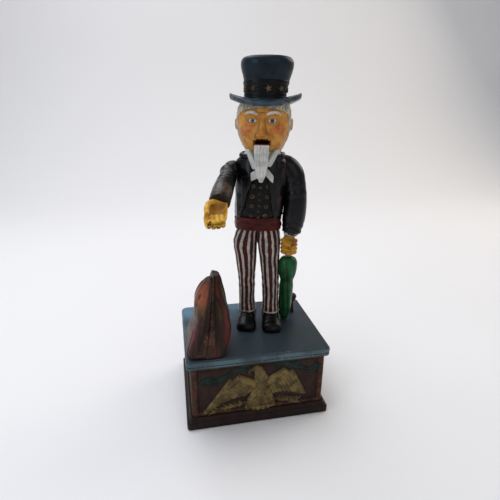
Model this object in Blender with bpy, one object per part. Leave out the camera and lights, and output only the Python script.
"""Cast mechanical coin bank: a top-hatted gentleman stands on a box beside an open-mouthed travelling bag.

Pressing the knob behind the umbrella tips a lever inside the box. The lever lifts a rod that runs up one leg and
turns the shoulder shaft, so the arm lowers its coin over the bag, a second crank nods the bearded jaw, and the
lever's far end opens the bag. Lengths in this file are millimetres; every mesh is scaled to metres when it is made.
Frame: origin at the middle of the underside, +Z up, the figure faces -Y and its right arm is on the -X side.
"""

from math import cos, hypot, pi, radians, sin, atan2, acos

import bpy
import bmesh
from mathutils import Matrix, Vector

MM = 0.001
GAP = 0.3  # clearance left between pieces that rest on or pass each other

# Box
FOOT_W, FOOT_D = 124.0, 98.0  # moulded foot of the box
FLOOR_T = 3.0
FOOT_H = 10.0
WALL_W, WALL_D = 114.0, 88.0  # outside of the four walls
WALL_T = 3.0
SLAB_W, SLAB_D = 122.0, 96.0  # blue top plate
SLAB_Z, TOP_Z = 60.0, 66.0
CORNER_R = 4.0
TIE_AT = ((-49.0, 36.0), (49.0, -36.0))  # the two long screws that clamp the box
TRAP_X, TRAP_R = -20.0, 13.0  # coin hole in the floor
TRAP_PIVOT = (TRAP_X, 23.0)

# Lever and knob
LEVER_X, LEVER_Z = 20.0, 44.0  # lever pin, which runs along Y
LEVER_TURN = radians(14.5)
KNOB_X, KNOB_Y = 46.0, 20.0
ROD_X, ROD_Y = -3.0, 12.0
ROD_ARM = 23.2  # lever pin to rod pin
ROD_PIN_Z = LEVER_Z - ROD_ARM * sin(LEVER_TURN / 2)
LIFT_X, LIFT_Z, LIFT_R = -19.3, 40.2, 2.5  # lever tip under the bag's tail

# Figure
FIGURE_TOP = 291.0
FIGURE_TURN = radians(-17.0)  # the figure faces a little towards its right hand
SHAFT_Y = 8.0  # shoulder shaft, and the parting plane of the front and back castings
SKIN = 2.5  # wall of the hollow castings
SHOULDER_Z = 207.0
ARM_TURN = radians(43.0)
CRANK_R = 8.0
JAW_CRANK_R = 2.0
JAW_Y, JAW_Z = -2.0, 236.0
MOUTH_TOP_Z, LIP_Z = 232.2, 229.4
HEAD_X, HEAD_Y = 10.6, 5.0
JAW_TURN = 2 * JAW_CRANK_R * sin(ARM_TURN / 2) / 8.0
SHAFT_R = 2.0

# Bag
BAG_Y = -25.0
BAG_PIN_X, BAG_PIN_Z = -52.0, 69.0
BAG_SEAM_X, BAG_LEAN = -45.0, 9.0  # seam at the plate, and how far it leans to the figure at the top
BAG_H = 65.0
BAG_WALL = 2.0

# Screws
SCREW_R, SCREW_HOLE_R = 1.5, 1.8
SCREW_HEAD_R, SCREW_SINK_R = 3.2, 3.6
SIDES = 20  # sides of round hardware

COLOURS = {  # base colour, roughness, metallic
    "brown_paint": ((0.075, 0.022, 0.016), 0.45, 0.0),
    "dark_paint": ((0.030, 0.018, 0.012), 0.50, 0.0),
    "blue_paint": ((0.045, 0.085, 0.115), 0.40, 0.0),
    "figure_paint": ((0.012, 0.015, 0.020), 0.35, 0.0),
    "coat_paint": ((0.010, 0.014, 0.022), 0.35, 0.0),
    "beard_paint": ((0.62, 0.64, 0.60), 0.45, 0.0),
    "green_paint": ((0.015, 0.11, 0.035), 0.40, 0.0),
    "bag_paint": ((0.085, 0.030, 0.016), 0.45, 0.0),
    "bare_iron": ((0.18, 0.17, 0.16), 0.55, 1.0),
    "steel": ((0.45, 0.45, 0.46), 0.35, 1.0),
}


# ---- building blocks --------------------------------------------------------------------------------------------


def material(slot):
    found = bpy.data.materials.get(slot)
    if found:
        return found
    colour, roughness, metallic = COLOURS[slot]
    made = bpy.data.materials.new(slot)
    made.use_nodes = True
    shader = made.node_tree.nodes["Principled BSDF"]
    shader.inputs["Base Color"].default_value = (*colour, 1.0)
    shader.inputs["Roughness"].default_value = roughness
    shader.inputs["Metallic"].default_value = metallic
    return made


def finish(name, mesh_edit, slot=None):
    """Turns a bmesh in millimetres into an object. Without a slot it is a hidden tool for a Boolean."""
    bmesh.ops.scale(mesh_edit, vec=(MM, MM, MM), verts=mesh_edit.verts)
    bmesh.ops.recalc_face_normals(mesh_edit, faces=mesh_edit.faces)
    mesh = bpy.data.meshes.new(name)
    mesh_edit.to_mesh(mesh)
    mesh_edit.free()
    obj = bpy.data.objects.new(name, mesh)
    bpy.context.scene.collection.objects.link(obj)
    if slot is None:
        obj.hide_render = True
        obj.display_type = "WIRE"
    else:
        mesh.materials.append(material(slot))
        mesh.shade_smooth()
        mesh.set_sharp_from_angle(angle=radians(35))
    return obj


def loft(name, rings, slot=None):
    """Closed skin over rings of points, each with the same count, capped at both ends."""
    edit = bmesh.new()
    rows = [[edit.verts.new(p) for p in ring] for ring in rings]
    count = len(rows[0])
    for low, high in zip(rows, rows[1:]):
        for i in range(count):
            j = (i + 1) % count
            edit.faces.new((low[i], low[j], high[j], high[i]))
    edit.faces.new(rows[0][::-1])
    edit.faces.new(rows[-1])
    return finish(name, edit, slot)


def box(name, low, high, slot=None):
    ring = [(low[0], low[1]), (high[0], low[1]), (high[0], high[1]), (low[0], high[1])]
    return loft(name, [[(x, y, z) for x, y in ring] for z in (low[2], high[2])], slot)


def prism(name, outline, axis, low, high, slot=None):
    """An outline in the plane across the axis, extruded along it. Outline pairs are (y, z), (x, z) or (x, y)."""
    place = {
        "x": lambda p, t: (t, p[0], p[1]),
        "y": lambda p, t: (p[0], t, p[1]),
        "z": lambda p, t: (p[0], p[1], t),
    }[axis]
    return loft(name, [[place(p, t) for p in outline] for t in (low, high)], slot)


def circle(centre, radius, sides=SIDES):
    return [
        (centre[0] + radius * cos(2 * pi * i / sides), centre[1] + radius * sin(2 * pi * i / sides))
        for i in range(sides)
    ]


def rod(name, centre, radius, axis, low, high, slot=None, sides=SIDES):
    return prism(name, circle(centre, radius, sides), axis, low, high, slot)


def turned(name, profile, centre, slot=None, sides=SIDES):
    """Round piece about a vertical axis, from (radius, z) pairs that run upwards."""
    rings = [[(x, y, z) for x, y in circle(centre, radius, sides)] for radius, z in profile]
    return loft(name, rings, slot)


def strap_outline(a, radius_a, b, radius_b, steps=8):
    """Outline of a strap with round ends: the two circles and the lines that touch both."""
    along = atan2(b[1] - a[1], b[0] - a[0])
    spread = acos((radius_a - radius_b) / hypot(b[0] - a[0], b[1] - a[1]))
    points = []
    for centre, radius, start, stop in (
        (b, radius_b, along - spread, along + spread),
        (a, radius_a, along + spread, along + 2 * pi - spread),
    ):
        for i in range(steps + 1):
            angle = start + (stop - start) * i / steps
            points.append((centre[0] + radius * cos(angle), centre[1] + radius * sin(angle)))
    return points


def rounded_rectangle(half_w, half_d, radius, z, steps=4):
    ring = []
    for quarter, (sx, sy) in enumerate(((1, 1), (-1, 1), (-1, -1), (1, -1))):
        for i in range(steps + 1):
            angle = pi / 2 * (quarter + i / steps)
            x = sx * (half_w - radius) + radius * cos(angle)
            y = sy * (half_d - radius) + radius * sin(angle)
            ring.append((x, y, z))
    return ring


def turned_about(x, y, centre, turn=FIGURE_TURN):
    """A point in the figure's own directions, given from the centre, as a place in the frame."""
    return centre[0] + x * cos(turn) - y * sin(turn), centre[1] + x * sin(turn) + y * cos(turn)


def oval(z, cx, cy, rx, ry, power=2.4, sides=20):
    """Horizontal superellipse ring in the figure's directions; a higher power is squarer."""
    ring = []
    for i in range(sides):
        c, s = cos(2 * pi * i / sides), sin(2 * pi * i / sides)
        u = rx * (abs(c) ** (2 / power)) * (1 if c >= 0 else -1)
        v = ry * (abs(s) ** (2 / power)) * (1 if s >= 0 else -1)
        ring.append((*turned_about(u, v, (cx, cy)), z))
    return ring


def tube_rings(stations, sides=16):
    """Round rings square to a path. Stations are (x, y, z, radius)."""
    points = [Vector(s[:3]) for s in stations]
    rings = []
    for i, station in enumerate(stations):
        ahead = points[min(i + 1, len(points) - 1)] - points[max(i - 1, 0)]
        across = ahead.cross(Vector((0, 0, 1)) if abs(ahead.normalized().z) < 0.9 else Vector((0, 1, 0))).normalized()
        other = across.cross(ahead).normalized()
        rings.append([
            tuple(points[i] + station[3] * (across * cos(2 * pi * k / sides) + other * sin(2 * pi * k / sides)))
            for k in range(sides)
        ])
    return rings


def combine(obj, tool, operation):
    modifier = obj.modifiers.new(tool.name, "BOOLEAN")
    modifier.operation = operation
    modifier.solver = "EXACT"
    modifier.object = tool
    return obj


def cut(obj, *tools):
    for tool in tools:
        combine(obj, tool, "DIFFERENCE")
    return obj


def join(obj, *tools):
    for tool in tools:
        combine(obj, tool, "UNION")
    return obj


def hang_on_axis(name, at, pieces):
    """Parents the pieces of one moving body to an empty on its joint's axis."""
    empty = bpy.data.objects.new(name, None)
    bpy.context.scene.collection.objects.link(empty)
    empty.location = Vector(at) * MM
    for piece in pieces:
        piece.parent = empty
        piece.location = -empty.location


def screw(name, x, y, head_z, tip_z):
    """Slotted pan-head screw put in from below: head at head_z, shank up to tip_z."""
    body = turned(
        name,
        [(SCREW_HEAD_R - 0.5, head_z), (SCREW_HEAD_R, head_z + 0.6), (SCREW_HEAD_R, head_z + 1.8),
         (SCREW_R, head_z + 1.8), (SCREW_R, tip_z - 1.0), (SCREW_R - 0.7, tip_z)],
        (x, y), "steel", 14,
    )
    slot = box(name + "_slot", (x - 5, y - 0.4, head_z - 1), (x + 5, y + 0.4, head_z + 0.7))
    return cut(body, slot)


# ---- box --------------------------------------------------------------------------------------------------------


def make_base_plate():
    half_w, half_d = FOOT_W / 2, FOOT_D / 2
    plate = loft(
        "base_plate",
        [rounded_rectangle(half_w - inset, half_d - inset, CORNER_R - 1.0, z)
         for inset, z in ((0.8, 0.0), (0.0, 0.8), (0.0, 5.5), (0.9, 6.4), (2.2, 7.4), (3.0, 8.8), (3.2, FOOT_H))],
        "dark_paint",
    )
    pocket = box(
        "base_pocket",
        (-WALL_W / 2 - GAP, -WALL_D / 2 - GAP, FLOOR_T),
        (WALL_W / 2 + GAP, WALL_D / 2 + GAP, FOOT_H + 5),
    )
    trap_hole = rod("trap_hole", (TRAP_X, 0), TRAP_R, "z", -2, FLOOR_T + 2, sides=28)
    spring_seat = rod("spring_seat", (38.0, KNOB_Y), 2.6, "z", FLOOR_T - 1, 7.5, sides=12)
    rivet_hole = rod("trap_rivet_hole", TRAP_PIVOT, SCREW_HOLE_R, "z", -2, FLOOR_T + 2, sides=14)
    cut(plate, pocket)
    join(plate, spring_seat)
    cut(plate, trap_hole, rivet_hole)
    for side, (x, y) in zip(("left", "right"), TIE_AT):
        hole = rod(f"tie_hole_{side}", (x, y), SCREW_HOLE_R, "z", -2, FLOOR_T + 2, sides=14)
        sink = rod(f"tie_sink_{side}", (x, y), SCREW_SINK_R, "z", -2, 2.3, sides=14)
        cut(plate, hole, sink)
    return plate


def make_top_plate():
    half_w, half_d = SLAB_W / 2, SLAB_D / 2
    slab = loft(
        "top_plate",
        [rounded_rectangle(half_w - inset, half_d - inset, CORNER_R, z)
         for inset, z in ((1.4, SLAB_Z), (0.2, SLAB_Z + 1.4), (0.0, SLAB_Z + 3.2), (0.4, TOP_Z - 1.2), (1.6, TOP_Z))],
        "blue_paint",
    )
    for side, (x, y) in zip(("left", "right"), TIE_AT):
        boss = rod(f"tie_boss_{side}", (x, y), 4.2, "z", 42, SLAB_Z + 1, sides=16)
        bore = rod(f"tie_bore_{side}", (x, y), SCREW_HOLE_R, "z", 40, 58, sides=14)
        join(slab, boss)
        cut(slab, bore)
    for place, low, high in (("front", -33.0, -29.0), ("back", 26.0, 30.0)):
        outline = [(LEVER_X - 7, SLAB_Z + 1), (LEVER_X - 4.5, LEVER_Z - 3), (LEVER_X - 2, LEVER_Z - 4.6),
                   (LEVER_X + 2, LEVER_Z - 4.6), (LEVER_X + 4.5, LEVER_Z - 3), (LEVER_X + 7, SLAB_Z + 1)]
        join(slab, prism(f"lever_ear_{place}", outline, "y", low, high))
    cut(slab, rod("lever_ear_bore", (LEVER_X, LEVER_Z), SHAFT_R + GAP, "y", -40, 40))
    for place, low, high in (("front", -41.0, -38.3), ("back", -11.7, -9.0)):
        outline = [(BAG_PIN_X - 1.4, TOP_Z - 2), (BAG_PIN_X + 3.4, TOP_Z - 2), (BAG_PIN_X + 1.9, 70.4),
                   (BAG_PIN_X, 71.0), (BAG_PIN_X - 1.4, 70.4)]
        join(slab, prism(f"bag_lug_{place}", outline, "y", low, high))
    cut(
        slab,
        rod("bag_lug_bore", (BAG_PIN_X, BAG_PIN_Z), 1.4, "y", -50, 0, sides=12),
        box("coin_opening", (-54.0, -38.0, SLAB_Z - 2), (-33.0, -12.0, TOP_Z + 2)),
        rod("knob_hole", (KNOB_X, KNOB_Y), 2.9, "z", SLAB_Z - 2, TOP_Z + 2),
        rod("rod_hole", (ROD_X, ROD_Y), 2.1, "z", SLAB_Z - 2, TOP_Z + 2, sides=14),
    )
    for name, (x, y) in FOOT_SCREWS.items():
        cut(slab, rod(f"{name}_hole", (x, y), SCREW_HOLE_R, "z", SLAB_Z - 2, TOP_Z + 2, sides=14))
    cut(slab, rod("bag_screw_hole", BAG_SCREW_AT, SCREW_HOLE_R, "z", SLAB_Z - 2, TOP_Z + 2, sides=14))
    return slab


def eagle_outline():
    """Right-hand half of a spread eagle, mirrored: wing, shoulder, head side, tail. Pairs are (x, z)."""
    right = [(0, 10.5), (9, 11.5), (20, 13.5), (30, 17.5), (22, 20.5), (12, 21), (10, 24.5), (20, 27.5), (38, 23.5),
             (32, 35), (25, 42), (16, 43.5), (9, 39), (5, 42), (4.2, 49), (0, 52)]
    return right + [(-x, z) for x, z in right[-2:0:-1]]


def make_panel(name, low, high, face, slot, relief=None):
    """One wall of the box with a sunk field inside a raised border. face is the outward axis and its sign."""
    axis, sign = face
    panel = box(name, low, high, slot)
    border, depth = 4.5, 1.0
    inner_low, inner_high = list(low), list(high)
    other = 1 - axis
    inner_low[other] += border
    inner_high[other] -= border
    inner_low[2] = FOOT_H + 3.0
    inner_high[2] = SLAB_Z - 4.5
    outside = high[axis] if sign > 0 else low[axis]
    inner_low[axis], inner_high[axis] = sorted((outside - sign * depth, outside + sign * 3))
    cut(panel, box(name + "_field", inner_low, inner_high))
    if relief:
        join(panel, relief)
    return panel


def make_walls():
    low_z, high_z = FLOOR_T + GAP, SLAB_Z - GAP
    half_w, half_d = WALL_W / 2, WALL_D / 2
    inside_y = half_d - WALL_T - GAP
    eagle = prism("eagle_relief", eagle_outline(), "y", -half_d - 1.0, -half_d + 1.5)
    return [
        make_panel("front_panel", (-half_w, -half_d, low_z), (half_w, -half_d + WALL_T, high_z), (1, -1),
                   "brown_paint", eagle),
        make_panel("back_panel", (-half_w, half_d - WALL_T, low_z), (half_w, half_d, high_z), (1, 1), "brown_paint"),
        make_panel("left_panel", (-half_w, -inside_y, low_z), (-half_w + WALL_T, inside_y, high_z), (0, -1),
                   "brown_paint"),
        make_panel("right_panel", (half_w - WALL_T, -inside_y, low_z), (half_w, inside_y, high_z), (0, 1),
                   "brown_paint"),
    ]


def make_trap():
    plate = prism("trap_door", strap_outline((TRAP_X, 0), TRAP_R + 3, TRAP_PIVOT, 5.0), "z",
                  FLOOR_T + GAP, FLOOR_T + GAP + 2, "bare_iron")
    cut(
        plate,
        rod("trap_door_pivot_hole", TRAP_PIVOT, SCREW_HOLE_R, "z", 0, 10, sides=14),
        rod("trap_finger_hole", (TRAP_X, -7), 3.0, "z", 0, 10, sides=14),
    )
    hang_on_axis("trap_axis", (*TRAP_PIVOT, FLOOR_T), [plate])
    turned(
        "trap_rivet",
        [(SCREW_R, 0.4), (SCREW_R, FLOOR_T + 2 + 2 * GAP), (3.2, FLOOR_T + 2 + 2 * GAP), (3.0, FLOOR_T + 3.8),
         (1.6, FLOOR_T + 4.6)],
        TRAP_PIVOT, "steel", 14,
    )


# ---- lever, knob and spring -------------------------------------------------------------------------------------


def make_lever():
    pin_axis = (LEVER_X, LEVER_Z)
    hub = rod("lever", pin_axis, 4.2, "y", -28.7, 25.7, "bare_iron")
    bar = [
        prism("knob_arm", [(LEVER_X, 41.8), (LEVER_X + 10, 43.6), (49.5, 49.2), (49.5, 52.7), (42.5, 52.7),
                           (LEVER_X + 10, 47.6), (LEVER_X, 46.4)], "y", 16.5, 23.5),
        prism("rod_arm", strap_outline(pin_axis, 3.6, (ROD_X, ROD_PIN_Z), 2.8), "y", ROD_Y - 5.4, ROD_Y - 1.8),
        rod("rod_arm_pin", (ROD_X, ROD_PIN_Z), 1.4, "y", ROD_Y - 4, ROD_Y + 2.2, sides=12),
        prism("bag_arm", strap_outline(pin_axis, 3.4, (LIFT_X, LIFT_Z), 1.5), "y", -27.5, -22.5),
        rod("bag_arm_tip", (LIFT_X, LIFT_Z), LIFT_R, "y", -27.5, -22.5, sides=16),
    ]
    join(hub, *bar)
    cut(hub, rod("lever_bore", pin_axis, SHAFT_R + GAP, "y", -60, 60))
    hang_on_axis("lever_axis", (LEVER_X, 0, LEVER_Z), [hub])
    rod("lever_pin", pin_axis, SHAFT_R, "y", -34.5, 31.5, "steel")


def make_knob():
    profile = [(2.5, 53.0), (2.5, 57.0), (4.6, 57.0), (4.6, SLAB_Z - 2 * GAP), (2.5, SLAB_Z - 2 * GAP),
               (2.3, 78.6), (3.6, 79.4), (4.6, 81.2), (4.5, 83.2), (3.4, 85.0), (1.6, 85.9)]
    knob = turned("press_knob", profile, (KNOB_X, KNOB_Y), "dark_paint")
    hang_on_axis("knob_axis", (KNOB_X, KNOB_Y, TOP_Z), [knob])


def make_spring():
    """Compression coil between the floor and the knob arm, with its last turn closed up at each end."""
    turns, per_turn, wire, radius = 8, 10, 0.6, 3.6
    low, high = FLOOR_T + 0.9, 44.2
    stations = []
    for i in range(turns * per_turn + 1):
        share = i / (turns * per_turn)
        angle = 2 * pi * turns * share
        stations.append((38 + radius * cos(angle), KNOB_Y + radius * sin(angle), low + (high - low) * share, wire))
    loft("return_spring", tube_rings(stations, 6), "steel")


# ---- figure -----------------------------------------------------------------------------------------------------

# Body and hat, as rings from crotch to hat top: height, middle x and y, half width, half depth.
BODY = [
    (141.0, 7.8, 8.0, 18.6, 10.5), (146.0, 7.8, 8.0, 20.0, 12.5), (154.0, 7.8, 8.0, 20.4, 13.4),
    (162.0, 7.7, 8.0, 19.8, 13.4), (168.0, 7.8, 8.0, 19.6, 13.4), (171.0, 8.0, 7.8, 20.6, 14.6),
    (184.0, 8.8, 7.4, 20.6, 15.4), (197.0, 9.8, 7.6, 21.0, 16.4), (207.0, 10.6, 7.6, 21.4, 16.0),
    (214.0, 10.6, 8.0, 20.4, 14.8), (218.5, 10.2, 6.8, 17.4, 11.6), (222.0, 10.2, 5.6, 14.8, 11.8),
    (227.0, 10.4, 5.0, 15.8, 15.4), (235.0, 10.5, 4.8, 18.8, 18.2), (246.0, 10.6, 5.0, 20.2, 19.4),
    (255.0, 10.7, 5.0, 19.6, 19.0), (261.6, 11.0, 5.0, 17.0, 18.0), (266.0, 11.3, 5.0, 15.6, 16.8),
    (272.0, 11.5, 5.0, 15.6, 16.8), (281.0, 11.8, 5.0, 17.0, 17.8), (287.0, 12.0, 5.0, 18.8, 19.6),
    (289.8, 12.0, 5.0, 19.6, 20.4), (FIGURE_TOP, 12.0, 5.0, 17.8, 18.4),
]
HOLLOW_FROM, HOLLOW_TO = 146.0, 287.0  # rings between which the body is hollow
LEGS = {  # middle line from boot to crotch: x, y, z, half width, half depth
    "right": [(-0.6, 11.4, 70.0, 6.4, 7.2), (-0.6, 11.2, 80.0, 7.0, 8.4), (-0.8, 11.0, 105.0, 7.6, 8.8),
              (-1.6, 11.0, 128.0, 9.2, 9.8), (-2.2, 11.0, 148.0, 10.2, 11.2), (-1.6, 10.4, 152.0, 9.4, 10.4)],
    "left": [(20.6, 5.0, 70.0, 6.4, 7.2), (20.6, 4.8, 80.0, 7.2, 8.4), (20.0, 5.0, 105.0, 8.0, 8.8),
             (18.6, 5.2, 128.0, 8.6, 9.8), (17.6, 5.2, 148.0, 10.2, 11.2), (16.6, 5.8, 152.0, 9.4, 10.4)],
}
BOOTS = {"right": radians(-22.0), "left": radians(-10.0)}  # which way each toe points
LEFT_ARM = [(27.6, 2.4, 214.0, 4.5), (31.6, 1.0, 209.0, 8.2), (36.4, 0.2, 194.0, 8.6), (38.8, -0.4, 178.0, 8.4),
            (37.0, -1.2, 163.0, 7.6), (34.6, -1.8, 152.6, 7.0)]
LEFT_FIST = (33.6, -2.4, 143.0)
FOOT_SCREWS = {"foot_screw_front": (18.4, -5.0), "foot_screw_back": (1.2, 15.8)}
BAG_SCREW_AT = (-30.6, -14.0)
BODY_SCREWS = {  # x, z, back of the head, and how far forward the boss in the front casting starts
    "figure_screw_hip": (9.0, 156.0, 20.6, -3.6),
    "figure_screw_chest": (18.5, 188.0, 18.2, -5.0),
    "figure_screw_hat": (11.5, 272.0, 21.2, -9.6),
}
BEARING_LOW, BEARING_HIGH = 4.0, 6.6  # rib inside the body that carries the shoulder shaft


def oval_section(z, x, y, half_w, half_d, sides=16):
    return oval(z, x, y, half_w, half_d, 2.3, sides)


def hat_brim(sides=24):
    """Curled brim: it dips to the front and back and rises to the sides, with the square of the way out."""
    rings = []
    for share, lift in ((0.40, -1.5), (0.96, -1.7), (1.0, -0.2), (0.97, 1.4), (0.40, 2.5)):
        ring = []
        for i in range(sides):
            c, s = cos(2 * pi * i / sides), sin(2 * pi * i / sides)
            rise = (4.2 * c * c - 4.6 * s * s) * share * share
            ring.append((*turned_about(28.0 * share * c, 26.0 * share * s, (11.4, 5.0)), 261.4 + rise + lift))
        rings.append(ring)
    return loft("hat_brim", rings)


def boot(side):
    """Boot as rings from toe to heel, flat underneath, turned about the ankle."""
    ankle = LEGS[side][0][:2]
    rings = []
    for y, half_w, height in ((-22.4, 2.8, 4.0), (-20.6, 5.4, 6.2), (-15.0, 7.4, 8.0), (-8.0, 7.0, 11.0),
                              (-1.0, 6.8, 15.0), (5.4, 6.6, 15.0), (7.6, 4.8, 12.0)):
        ring = []
        for i in range(14):
            c, s = cos(2 * pi * i / 14), sin(2 * pi * i / 14)
            ring.append((*turned_about(half_w * c, y, ankle, BOOTS[side]),
                         TOP_Z + GAP + height * max(0.0, 0.35 + 0.65 * s)))
        rings.append(ring)
    return loft(f"boot_{side}", rings)


def coat_tails():
    """Two tails of the coat against the backs of the legs."""
    tails = []
    for side, hand in (("right", -1), ("left", 1)):
        rings = []
        for z, near, far, inner in ((112.0, 8.6, 11.6, 5.4), (135.0, 9.0, 13.0, 4.0), (158.0, 7.6, 14.0, 3.0),
                                    (174.0, 4.0, 13.8, 3.0)):
            corners = [(hand * inner, near), (hand * 19.0, near), (hand * 17.6, far), (hand * inner, far)]
            rings.append([(*turned_about(u, v, (8.0, 8.0)), z) for u, v in corners[::hand]])
        tails.append(loft(f"coat_tail_{side}", rings))
    return tails


def fist():
    x, y, z = LEFT_FIST
    rings = []
    for lift, scale in ((-8.0, 0.45), (-6.0, 0.85), (-2.0, 1.0), (3.0, 1.0), (8.0, 0.86), (10.5, 0.8)):
        rings.append(oval(z + lift, x, y, 7.4 * scale, 7.8 * scale, 2.5, 16))
    return loft("left_fist", rings)


def shrunk(rings, wall):
    return [(z, cx, cy, rx - wall, ry - wall) for z, cx, cy, rx, ry in rings]


def figure_tools():
    """Shared Boolean tools for both castings: what is added outside, what is hollowed, what is added inside."""
    outside = [hat_brim()]
    hollow = [loft("body_hollow", [oval(*r) for r in shrunk(BODY, SKIN) if HOLLOW_FROM <= r[0] <= HOLLOW_TO])]
    for side, stations in LEGS.items():
        outside.append(loft(f"leg_{side}", [oval_section(z, x, y, w, d) for x, y, z, w, d in stations]))
        outside.append(boot(side))
        above = [s for s in stations if s[2] > 75]
        hollow.append(loft(f"leg_hollow_{side}",
                           [oval_section(z, x, y, w - SKIN, d - SKIN) for x, y, z, w, d in above]))
    hollow.append(rod("rod_passage", (ROD_X, ROD_Y), 2.1, "z", 60, 90, sides=14))
    bearing = [(-6.4, 200.0), (-5.8, 207.0), (-2.0, 213.0), (18.0, 213.0), (23.4, 208.0), (23.6, 200.0)]
    ribs = [
        rod("shaft_boss", (SHAFT_Y, SHOULDER_Z), 6.2, "x", -11.6, -5.0, sides=18),
        prism("bearing_rib", bearing, "x", BEARING_LOW, BEARING_HIGH),
    ]
    return outside, hollow, ribs


def add_screw_bosses(half):
    """Bosses that take the three screws through the back casting, with a seat for each head."""
    for name, (x, z, back, front) in BODY_SCREWS.items():
        label = f"{name}_{half.name}"
        join(half, rod(label, (x, z), 4.8, "y", front, back - 0.4, sides=16))
        cut(half, rod(label + "_hole", (x, z), SCREW_HOLE_R, "y", front + 2.0, 30.0, sides=14))
        cut(half, rod(label + "_seat", (x, z), SCREW_SINK_R, "y", back - 1.8 - GAP, 30.0, sides=16))


def make_figure():
    outside, hollow, ribs = figure_tools()
    tails = coat_tails()
    arm = [loft("left_sleeve", tube_rings(LEFT_ARM)), fist()]
    shaft_bore = rod("shaft_bore", (SHAFT_Y, SHOULDER_Z), SHAFT_R + GAP, "x", -30, 9.0)
    halves = {"figure_front": (-60.0, SHAFT_Y - GAP / 2), "figure_back": (SHAFT_Y + GAP / 2, 60.0)}
    for name, (low_y, high_y) in halves.items():
        half = loft(name, [oval(*r) for r in BODY], "figure_paint")
        join(half, *outside)
        join(half, *(tails if name == "figure_back" else arm))
        cut(half, *hollow)
        join(half, *ribs)
        add_screw_bosses(half)
        combine(half, box(name + "_keep", (-60, low_y, TOP_Z + GAP), (80, high_y, 300)), "INTERSECT")
        cut(half, shaft_bore)
        if name == "figure_front":
            mouth = [turned_about(u, v, (HEAD_X, HEAD_Y)) for u, v in ((-6.4, -30), (7.2, -30), (7.2, -12), (-6.4, -12))]
            cut(half, prism("mouth_slot", mouth, "z", 215.0, MOUTH_TOP_Z))
            lugs = [box(f"jaw_lug_{side}", (low, front, 232.6), (low + 2.4, 1.6, 239.4))
                    for side, low, front in (("right", -4.9, -8.6), ("left", 17.4, -11.8))]
            join(half, *lugs)
            cut(half, rod("jaw_lug_bore", (JAW_Y, JAW_Z), 1.4, "x", -12, 30, sides=12))
        for screw_name, (x, y) in FOOT_SCREWS.items():
            cut(half, rod(f"{screw_name}_bore_{name}", (x, y), SCREW_HOLE_R, "z", 60, 77, sides=14))
    for name, (x, z, back, _) in BODY_SCREWS.items():
        body = screw(name, 0.0, 0.0, 0.0, back + 1.0)
        body.matrix_world = Matrix.Translation(Vector((x, back, z)) * MM) @ Matrix.Rotation(radians(90), 4, "X")
        for modifier in body.modifiers:
            modifier.object.matrix_world = body.matrix_world


def make_umbrella():
    """Rolled umbrella under the left fist, leaning back to its tip on the plate."""
    foot_z, grip_z = TOP_Z + GAP, 133.4
    rings = []
    for z, radius in ((foot_z, 3.0), (68.0, 3.9), (77.0, 4.6), (88.0, 5.2), (98.0, 5.6), (106.0, 5.8), (109.5, 5.4),
                      (113.0, 5.8), (118.0, 7.0), (124.0, 7.4), (129.0, 7.0), (132.0, 5.4), (grip_z, 3.2)):
        share = (z - foot_z) / (grip_z - foot_z)
        centre = (36.6 - 2.4 * share, 3.4 - 4.4 * share)
        rings.append([(x, y, z) for x, y in circle(centre, radius, 18)])
    loft("umbrella", rings, "green_paint")


def make_arm():
    """Right arm, raised to the front with its palm up, and the shaft and cranks that turn it."""
    axis = (SHAFT_Y, SHOULDER_Z)
    arm = rod("right_arm", axis, 8.8, "x", -21.4, -11.9, "coat_paint", 20)
    sleeve = loft("right_sleeve", tube_rings([(-18.6, 5.0, 206.4, 6.2), (-19.4, -3.0, 204.2, 6.8),
                                              (-26.4, -24.0, 197.0, 7.8), (-31.6, -41.0, 191.0, 7.2)], 14))
    hand_rings = []
    for y, x, z, half_w, half_h in ((-38.0, -31.2, 190.8, 5.4, 5.0), (-44.0, -33.0, 189.0, 6.4, 5.4),
                                    (-51.0, -34.8, 187.0, 7.4, 5.2), (-58.0, -36.0, 184.2, 6.8, 4.6),
                                    (-64.0, -36.6, 181.0, 4.8, 3.2)):
        hand_rings.append([(x + half_w * cos(2 * pi * k / 14), y, z + half_h * sin(2 * pi * k / 14))
                           for k in range(14)])
    hand = loft("right_hand", hand_rings)
    palm = loft("palm_hollow", [oval(z, -34.9, -51.0, rx, ry, 2.2, 14)
                                for z, rx, ry in ((188.4, 2.6, 4.4), (190.2, 4.4, 7.0), (196.0, 5.4, 8.6))])
    join(arm, sleeve, hand)
    cut(arm, palm, rod("arm_bore", axis, SHAFT_R + GAP, "x", -18.0, -10.0))
    shaft = rod("arm_shaft", axis, SHAFT_R, "x", -17.6, 8.3, "steel")

    half_turn = ARM_TURN / 2
    pin = (axis[0] + CRANK_R * cos(half_turn), axis[1] - CRANK_R * sin(half_turn))
    crank = prism("rod_crank", strap_outline(axis, 4.2, pin, 2.4), "x", -0.2, 2.0, "bare_iron")
    join(crank, rod("rod_crank_pin", pin, 1.1, "x", -3.8, 0.4, sides=12))
    cut(crank, rod("rod_crank_bore", axis, SHAFT_R + GAP, "x", -9, 9))

    jaw_pin = (axis[0] - JAW_CRANK_R * cos(half_turn), axis[1] + JAW_CRANK_R * sin(half_turn))
    jaw_crank = rod("jaw_crank", axis, 4.2, "x", 6.9, 10.2, "bare_iron")
    join(jaw_crank, rod("jaw_crank_pin", jaw_pin, 0.9, "x", 9.6, 13.0, sides=12))
    cut(jaw_crank, rod("jaw_crank_bore", axis, SHAFT_R + GAP, "x", 0, 8.6))
    hang_on_axis("arm_axis", (0, *axis), [arm, shaft, crank, jaw_crank])
    return pin, jaw_pin


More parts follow.
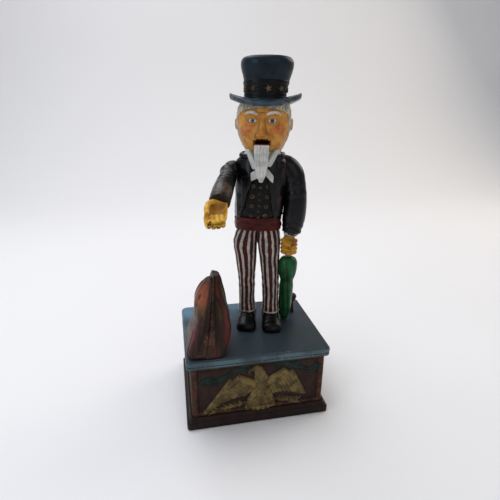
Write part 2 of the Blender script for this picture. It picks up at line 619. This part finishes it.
def make_pull_rod(crank_pin):
    """Rod up the leg: a slotted eye round the lever's pin, and a slotted yoke round the crank's pin."""
    shank = rod("pull_rod", (ROD_X, ROD_Y), 1.4, "z", 43.0, 204.0, "steel", 12)
    eye = prism("rod_eye", [(-6.6, 37.2), (0.6, 37.2), (0.6, 45.4), (-6.6, 45.4)], "y", ROD_Y - 1.1, ROD_Y + 1.1)
    near_y, far_y = ROD_Y - 1.3, crank_pin[0] + 3.0
    yoke_outline = [(near_y, 200.8), (far_y, 200.8), (far_y, 206.0), (far_y - 1, 207.0), (near_y, 207.0)]
    yoke = prism("rod_yoke", yoke_outline, "x", ROD_X - 0.4, ROD_X + 2.2)
    eye_slot = prism("rod_eye_slot", strap_outline((ROD_X - 0.5, ROD_PIN_Z), 1.75, (ROD_X + 0.5, ROD_PIN_Z), 1.7),
                     "y", 5, 20)
    yoke_slot = prism("rod_yoke_slot", strap_outline((crank_pin[0] - 0.2, crank_pin[1]), 1.45,
                                                     (crank_pin[0] + 0.7, crank_pin[1]), 1.4), "x", -8, 2)
    join(shank, eye, yoke)
    cut(shank, eye_slot, yoke_slot)
    hang_on_axis("rod_axis", (ROD_X, ROD_Y, TOP_Z), [shank])


def make_jaw(jaw_crank_pin):
    tail = (JAW_Y + 8 * cos(JAW_TURN / 2), JAW_Z + 8 * sin(JAW_TURN / 2))
    head = (HEAD_X, HEAD_Y)
    beard_rings = []
    for z, v, half_w, half_d in ((201.6, -20.4, 1.4, 1.0), (206.0, -21.0, 3.0, 1.9), (214.0, -21.7, 4.3, 2.3),
                                 (221.0, -21.5, 5.0, 2.4), (226.0, -20.8, 5.4, 2.5), (LIP_Z, -20.0, 5.6, 2.4)):
        beard_rings.append(oval(z, *turned_about(0.0, v, head), half_w, half_d, 3.0, 14))
    jaw = loft("jaw_with_beard", beard_rings, "beard_paint")
    bar_rings = []
    for u in (-5.3, 5.3):
        profile = ((-20.4, 225.2), (-12.0, 227.0), (-7.4, 231.0), (-5.4, 236.0), (-7.4, 238.4), (-10.4, 232.6),
                   (-13.0, 229.6), (-20.4, LIP_Z - 0.1))
        bar_rings.append([(*turned_about(u, v, head), z) for v, z in profile])
    bar = loft("jaw_bar", bar_rings)
    hub = rod("jaw_hub", (JAW_Y, JAW_Z), 2.8, "x", 1.6, 15.6, sides=14)
    lug = prism("jaw_tail", strap_outline((JAW_Y, JAW_Z), 2.8, tail, 2.0), "x", 13.2, 15.6)
    pin = rod("jaw_tail_pin", tail, 0.9, "x", 10.3, 14.2, sides=12)
    join(jaw, bar, hub, lug, pin)
    cut(jaw, rod("jaw_bore", (JAW_Y, JAW_Z), 1.4, "x", -4, 20, sides=12))
    hang_on_axis("jaw_axis", (10.5, JAW_Y, JAW_Z), [jaw])
    rod("jaw_pin", (JAW_Y, JAW_Z), 1.1, "x", -5.0, 19.8, "steel", 12)

    link = prism("jaw_link", strap_outline(jaw_crank_pin, 2.3, tail, 2.25), "x", 10.9, 12.4, "steel")
    for place, at in (("low", jaw_crank_pin), ("high", tail)):
        cut(link, rod(f"jaw_link_eye_{place}", at, 1.25, "x", 5, 18, sides=12))
    hang_on_axis("jaw_link_axis", (11.6, *jaw_crank_pin), [link])


# ---- bag --------------------------------------------------------------------------------------------------------


def seam_x(z):
    return BAG_SEAM_X + BAG_LEAN * (z - TOP_Z) / BAG_H


def bag_ring(z, width, half_length, side, seam_gap, power, sides=14):
    """D-shaped ring: flat along the seam, rounded outwards to width. side is -1 for the outer half."""
    ring = []
    start = seam_x(z) + side * seam_gap
    for i in range(sides + 1):
        angle = pi * i / sides
        c, s = cos(angle), sin(angle)
        y = BAG_Y + half_length * (abs(c) ** (2 / power)) * (1 if c >= 0 else -1)
        ring.append((start + side * width * (s ** (2 / power) if s > 0 else 0), y, z))
    return ring


# Height, width out from the seam, half length, gap to the seam, squareness.
OUTER_HALF = [(67.9, 11.9, 20.6, 0.4, 8.0), (70.4, 13.8, 21.4, 0.5, 7.0), (76.0, 13.2, 21.6, 0.5, 5.0),
              (86.0, 11.4, 21.4, 0.6, 3.8), (96.0, 9.4, 20.4, 0.9, 3.2), (103.0, 9.9, 19.0, 1.1, 2.8),
              (109.0, 10.4, 17.2, 1.3, 2.6), (116.0, 8.8, 14.2, 1.7, 2.4), (122.0, 5.6, 10.2, 2.2, 2.2),
              (126.0, 2.4, 5.6, 2.8, 2.0)]
INNER_HALF = [(66.3, 15.0, 20.6, 0.4, 6.0), (74.0, 18.4, 21.4, 0.4, 4.4), (86.0, 19.4, 21.6, 0.4, 3.4),
              (98.0, 16.4, 20.6, 0.5, 2.8), (108.0, 13.0, 18.2, 0.6, 2.5), (116.0, 10.0, 15.2, 0.9, 2.3),
              (124.0, 6.2, 11.0, 1.6, 2.2), (131.0, 2.6, 5.4, 2.6, 2.0)]


def bag_half(name, rows, side):
    half = loft(name, [bag_ring(z, w, l, side, gap, p) for z, w, l, gap, p in rows], "bag_paint")
    inside = []
    for z, w, l, gap, p in rows[:-1]:
        inside.append(bag_ring(z, max(w - BAG_WALL + gap + 4, 2.0), max(l - BAG_WALL, 2.0), side, -4.0, p))
    first, last = rows[0], inside[-1]
    inside.insert(0, [(x, y, first[0] - 8) for x, y, _ in inside[0]])
    inside.append([(seam_x(rows[-1][0]) + (x - seam_x(rows[-2][0])) * 0.2, BAG_Y + (y - BAG_Y) * 0.3,
                    rows[-1][0] - BAG_WALL) for x, y, _ in last])
    cut(half, loft(name + "_inside", inside))
    return half


def make_bag():
    outer = bag_half("bag_outer_half", OUTER_HALF, -1)
    barrels = [rod(f"bag_barrel_{i}", (BAG_PIN_X, BAG_PIN_Z), 2.1, "y", low, high, sides=14)
               for i, (low, high) in enumerate(((-38.0, -33.0), (-17.0, -12.0)))]
    webs = [box(f"bag_web_{i}", (-56.0, low, 67.8), (BAG_PIN_X, high, 70.6))
            for i, (low, high) in enumerate(((-38.0, -33.0), (-17.0, -12.0)))]
    tail = [
        box("tail_root", (-55.6, -27.5, 67.8), (-50.6, -22.5, 72.0)),
        prism("tail_arm", [(-53.4, 71.0), (-53.4, 45.0), (-51.4, 43.0), (-17.5, 43.0), (-17.5, 46.0), (-49.8, 46.0),
                           (-50.6, 47.0), (-50.6, 71.0)], "y", -27.5, -22.5),
    ]
    join(outer, *barrels, *webs, *tail)
    cut(outer, rod("bag_pin_bore", (BAG_PIN_X, BAG_PIN_Z), 1.4, "y", -42.0, -8.0, sides=12))
    hang_on_axis("bag_axis", (BAG_PIN_X, BAG_Y, BAG_PIN_Z), [outer])
    rod("bag_pin", (BAG_PIN_X, BAG_PIN_Z), 1.1, "y", -41.6, -8.4, "steel", 12)

    inner = bag_half("bag_inner_half", INNER_HALF, 1)
    join(inner, rod("bag_screw_boss", BAG_SCREW_AT, 3.4, "z", TOP_Z + GAP, 77.0, sides=14))
    cut(inner, rod("bag_screw_bore", BAG_SCREW_AT, SCREW_HOLE_R, "z", 60.0, 75.0, sides=14))
    screw("bag_screw", *BAG_SCREW_AT, SLAB_Z - 1.8 - GAP, 74.0)


def main():
    for obj in list(bpy.data.objects):
        bpy.data.objects.remove(obj)
    make_base_plate()
    make_walls()
    make_top_plate()
    for side, (x, y) in zip(("left", "right"), TIE_AT):
        screw(f"tie_screw_{side}", x, y, 0.3, 57.0)
    make_trap()
    make_lever()
    make_knob()
    make_spring()
    make_figure()
    for name, (x, y) in FOOT_SCREWS.items():
        screw(name, x, y, SLAB_Z - 1.8 - GAP, 76.0)
    make_umbrella()
    crank_pin, jaw_crank_pin = make_arm()
    make_pull_rod(crank_pin)
    make_jaw(jaw_crank_pin)
    make_bag()


main()
